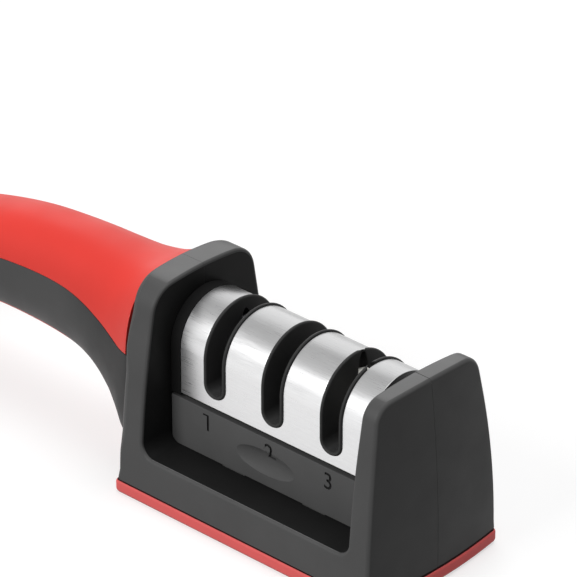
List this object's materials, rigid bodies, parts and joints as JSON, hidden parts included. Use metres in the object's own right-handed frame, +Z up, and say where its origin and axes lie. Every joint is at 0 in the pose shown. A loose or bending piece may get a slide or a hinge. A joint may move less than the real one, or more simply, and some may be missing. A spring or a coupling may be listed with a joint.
{
  "type": "knife sharpener",
  "caption": "Pull-through knife sharpener: saddle-shaped housing with arched soft-grip handle, lift-out steel-covered module with slots, non-slip sole.",
  "frame": {"origin": "centre of the sole's underside, below the housing", "axes": "+X to the nose, -X to the handle, -Y is the numbered front side, +Z up"},
  "size_m": [0.2094, 0.0502, 0.0618],
  "materials": {
    "black_plastic": "satin, dark grey-black moulded",
    "dark_plastic": "matt black moulded",
    "insert_plastic": "gloss black moulded",
    "red_rubber": "satin soft-touch, red",
    "sole_rubber": "matt soft, red",
    "cover_steel": "bent sheet, brushed",
    "spring_steel": "bright strip",
    "screw_steel": "zinc plated",
    "diamond_coating": "grey grit on steel",
    "carbide": "dark ground carbide",
    "fine_ceramic": "white, matt"
  },
  "bodies": {
    "housing": {"front_housing_shell": "black_plastic", "back_housing_shell": "black_plastic", "handle_top_grip": "red_rubber", "handle_underside_strip": "red_rubber", "base_plate": "dark_plastic", "nonslip_sole": "sole_rubber", "base_screws": "screw_steel", "housing_screws": "screw_steel"},
    "sharpening_module": {"module_carrier": "dark_plastic", "steel_cover": "cover_steel", "front_leaf_spring": "spring_steel", "back_leaf_spring": "spring_steel", "diamond_stage_block": "insert_plastic", "carbide_stage_block": "insert_plastic", "ceramic_stage_block": "insert_plastic", "stage_block_screws": "screw_steel", "front_diamond_rod": "diamond_coating", "back_diamond_rod": "diamond_coating", "front_carbide_plate": "carbide", "back_carbide_plate": "carbide", "carbide_clamp_screws": "screw_steel", "front_ceramic_rod": "fine_ceramic", "back_ceramic_rod": "fine_ceramic"},
    "front_panel": {"front_release_panel": "black_plastic"},
    "back_panel": {"back_release_panel": "black_plastic"}
  },
  "joints": [
    {"name": "module_lift_out", "type": "slide", "parent": "housing", "child": "sharpening_module", "axis": [0, 0, 1], "range_m": [0, 0.055]},
    {"name": "front_panel_press", "type": "slide", "parent": "sharpening_module", "child": "front_panel", "axis": [0, 1, 0], "range_m": [0, 0.0012], "stiffness_N_per_m": 800, "deforming": ["front_leaf_spring"]},
    {"name": "back_panel_press", "type": "slide", "parent": "sharpening_module", "child": "back_panel", "axis": [0, -1, 0], "range_m": [0, 0.0012], "stiffness_N_per_m": 800, "deforming": ["back_leaf_spring"]}
  ]
}
